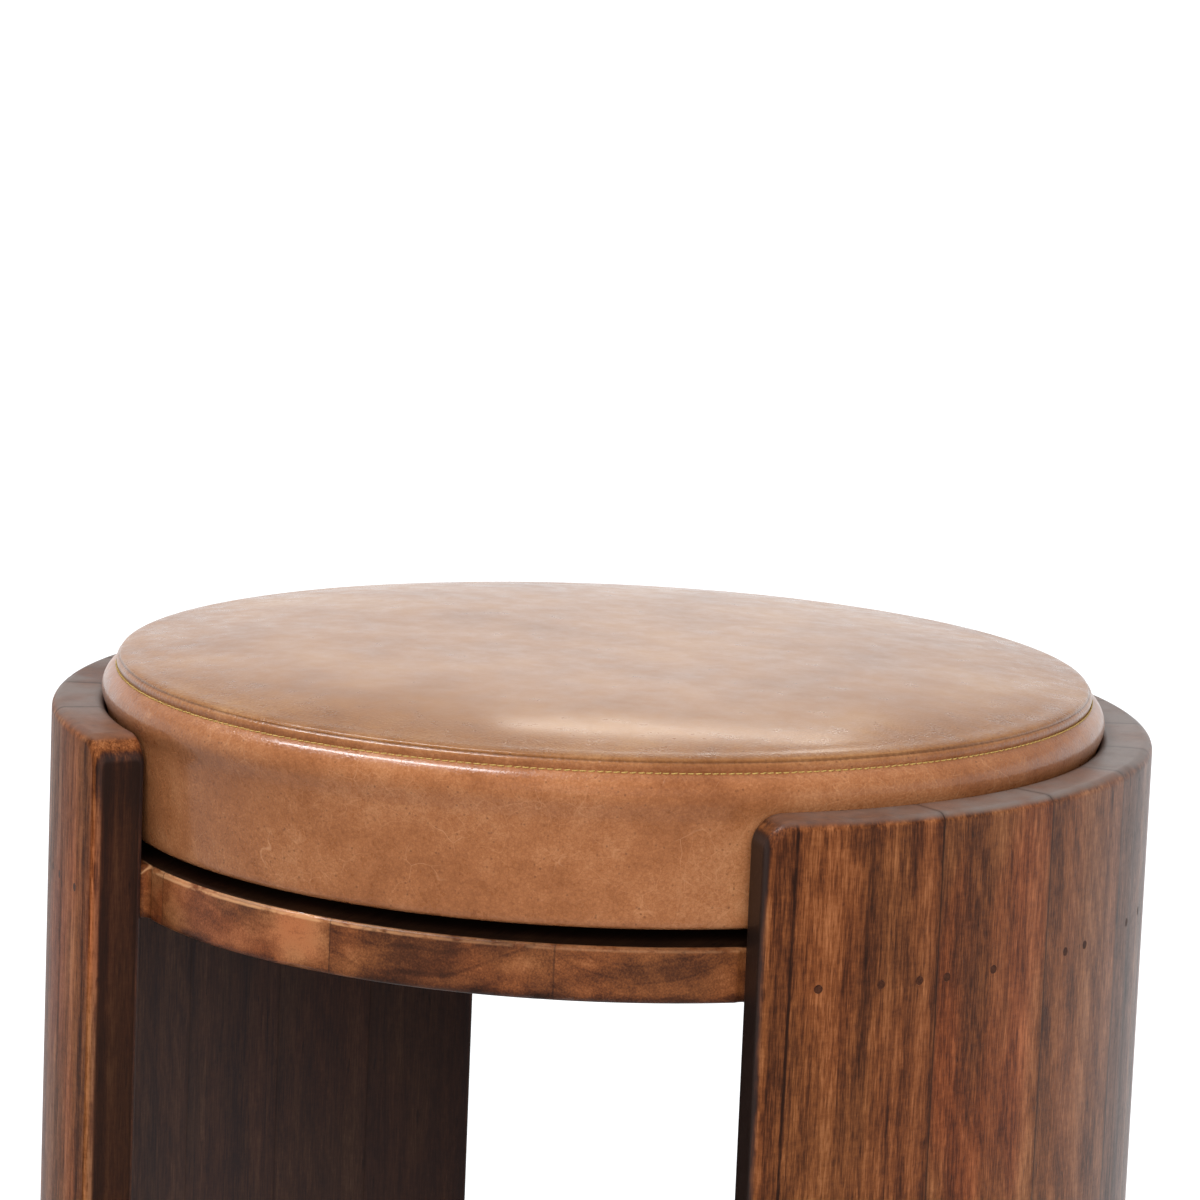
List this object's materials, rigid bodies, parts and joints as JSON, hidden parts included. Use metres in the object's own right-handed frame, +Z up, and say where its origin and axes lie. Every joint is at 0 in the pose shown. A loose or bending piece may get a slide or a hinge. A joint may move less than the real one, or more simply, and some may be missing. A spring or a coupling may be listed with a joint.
{
  "type": "drum_stool",
  "caption": "low round stool with curved walls of glued upright staves, a plank seat board between them and a stitched round leather cushion fixed on top",
  "frame": {"origin": "on the floor, under the middle of the drum", "axes": "+Z up, -Y out of the front opening, +X towards the right-hand wall"},
  "size_m": [0.45, 0.4108, 0.4505],
  "materials": {
    "wall_wood": "oiled reddish-brown hardwood with dark streaks, satin",
    "board_wood": "oiled reddish-brown hardwood, end grain at the openings",
    "stained_wood": "black-stained board, flat",
    "plywood": "raw plywood",
    "leather": "tan full-grain leather, lightly worn, soft sheen",
    "foam": "open-cell upholstery foam, hidden",
    "wadding": "white polyester wadding, hidden",
    "black_cloth": "black non-woven cloth",
    "nail_steel": "plain bright steel",
    "staple_steel": "zinc-coated wire",
    "screw_steel": "zinc-coated screws",
    "dark_putty": "dark brown wood filler",
    "glide_plastic": "dark hard plastic"
  },
  "bodies": {
    "root": {"right_stave_1": "wall_wood", "right_stave_2": "wall_wood", "right_stave_3": "wall_wood", "right_stave_4": "wall_wood", "right_stave_5": "wall_wood", "right_stave_6": "wall_wood", "right_stave_7": "wall_wood", "left_stave_1": "wall_wood", "left_stave_2": "wall_wood", "left_stave_3": "wall_wood", "left_stave_4": "wall_wood", "left_stave_5": "wall_wood", "left_stave_6": "wall_wood", "left_stave_7": "wall_wood", "seat_plank_1": "board_wood", "seat_plank_2": "board_wood", "seat_plank_3": "board_wood", "seat_plank_4": "board_wood", "seat_plank_5": "board_wood", "right_board_nails": "nail_steel", "left_board_nails": "nail_steel", "right_nail_filler": "dark_putty", "left_nail_filler": "dark_putty", "right_floor_glides": "glide_plastic", "left_floor_glides": "glide_plastic", "pad_riser": "stained_wood", "pad_base": "plywood", "foam_core": "foam", "wadding_wrap": "wadding", "leather_top": "leather", "leather_band": "leather", "dust_cover": "black_cloth", "hem_staples": "staple_steel", "pad_screws": "screw_steel"}
  },
  "joints": []
}
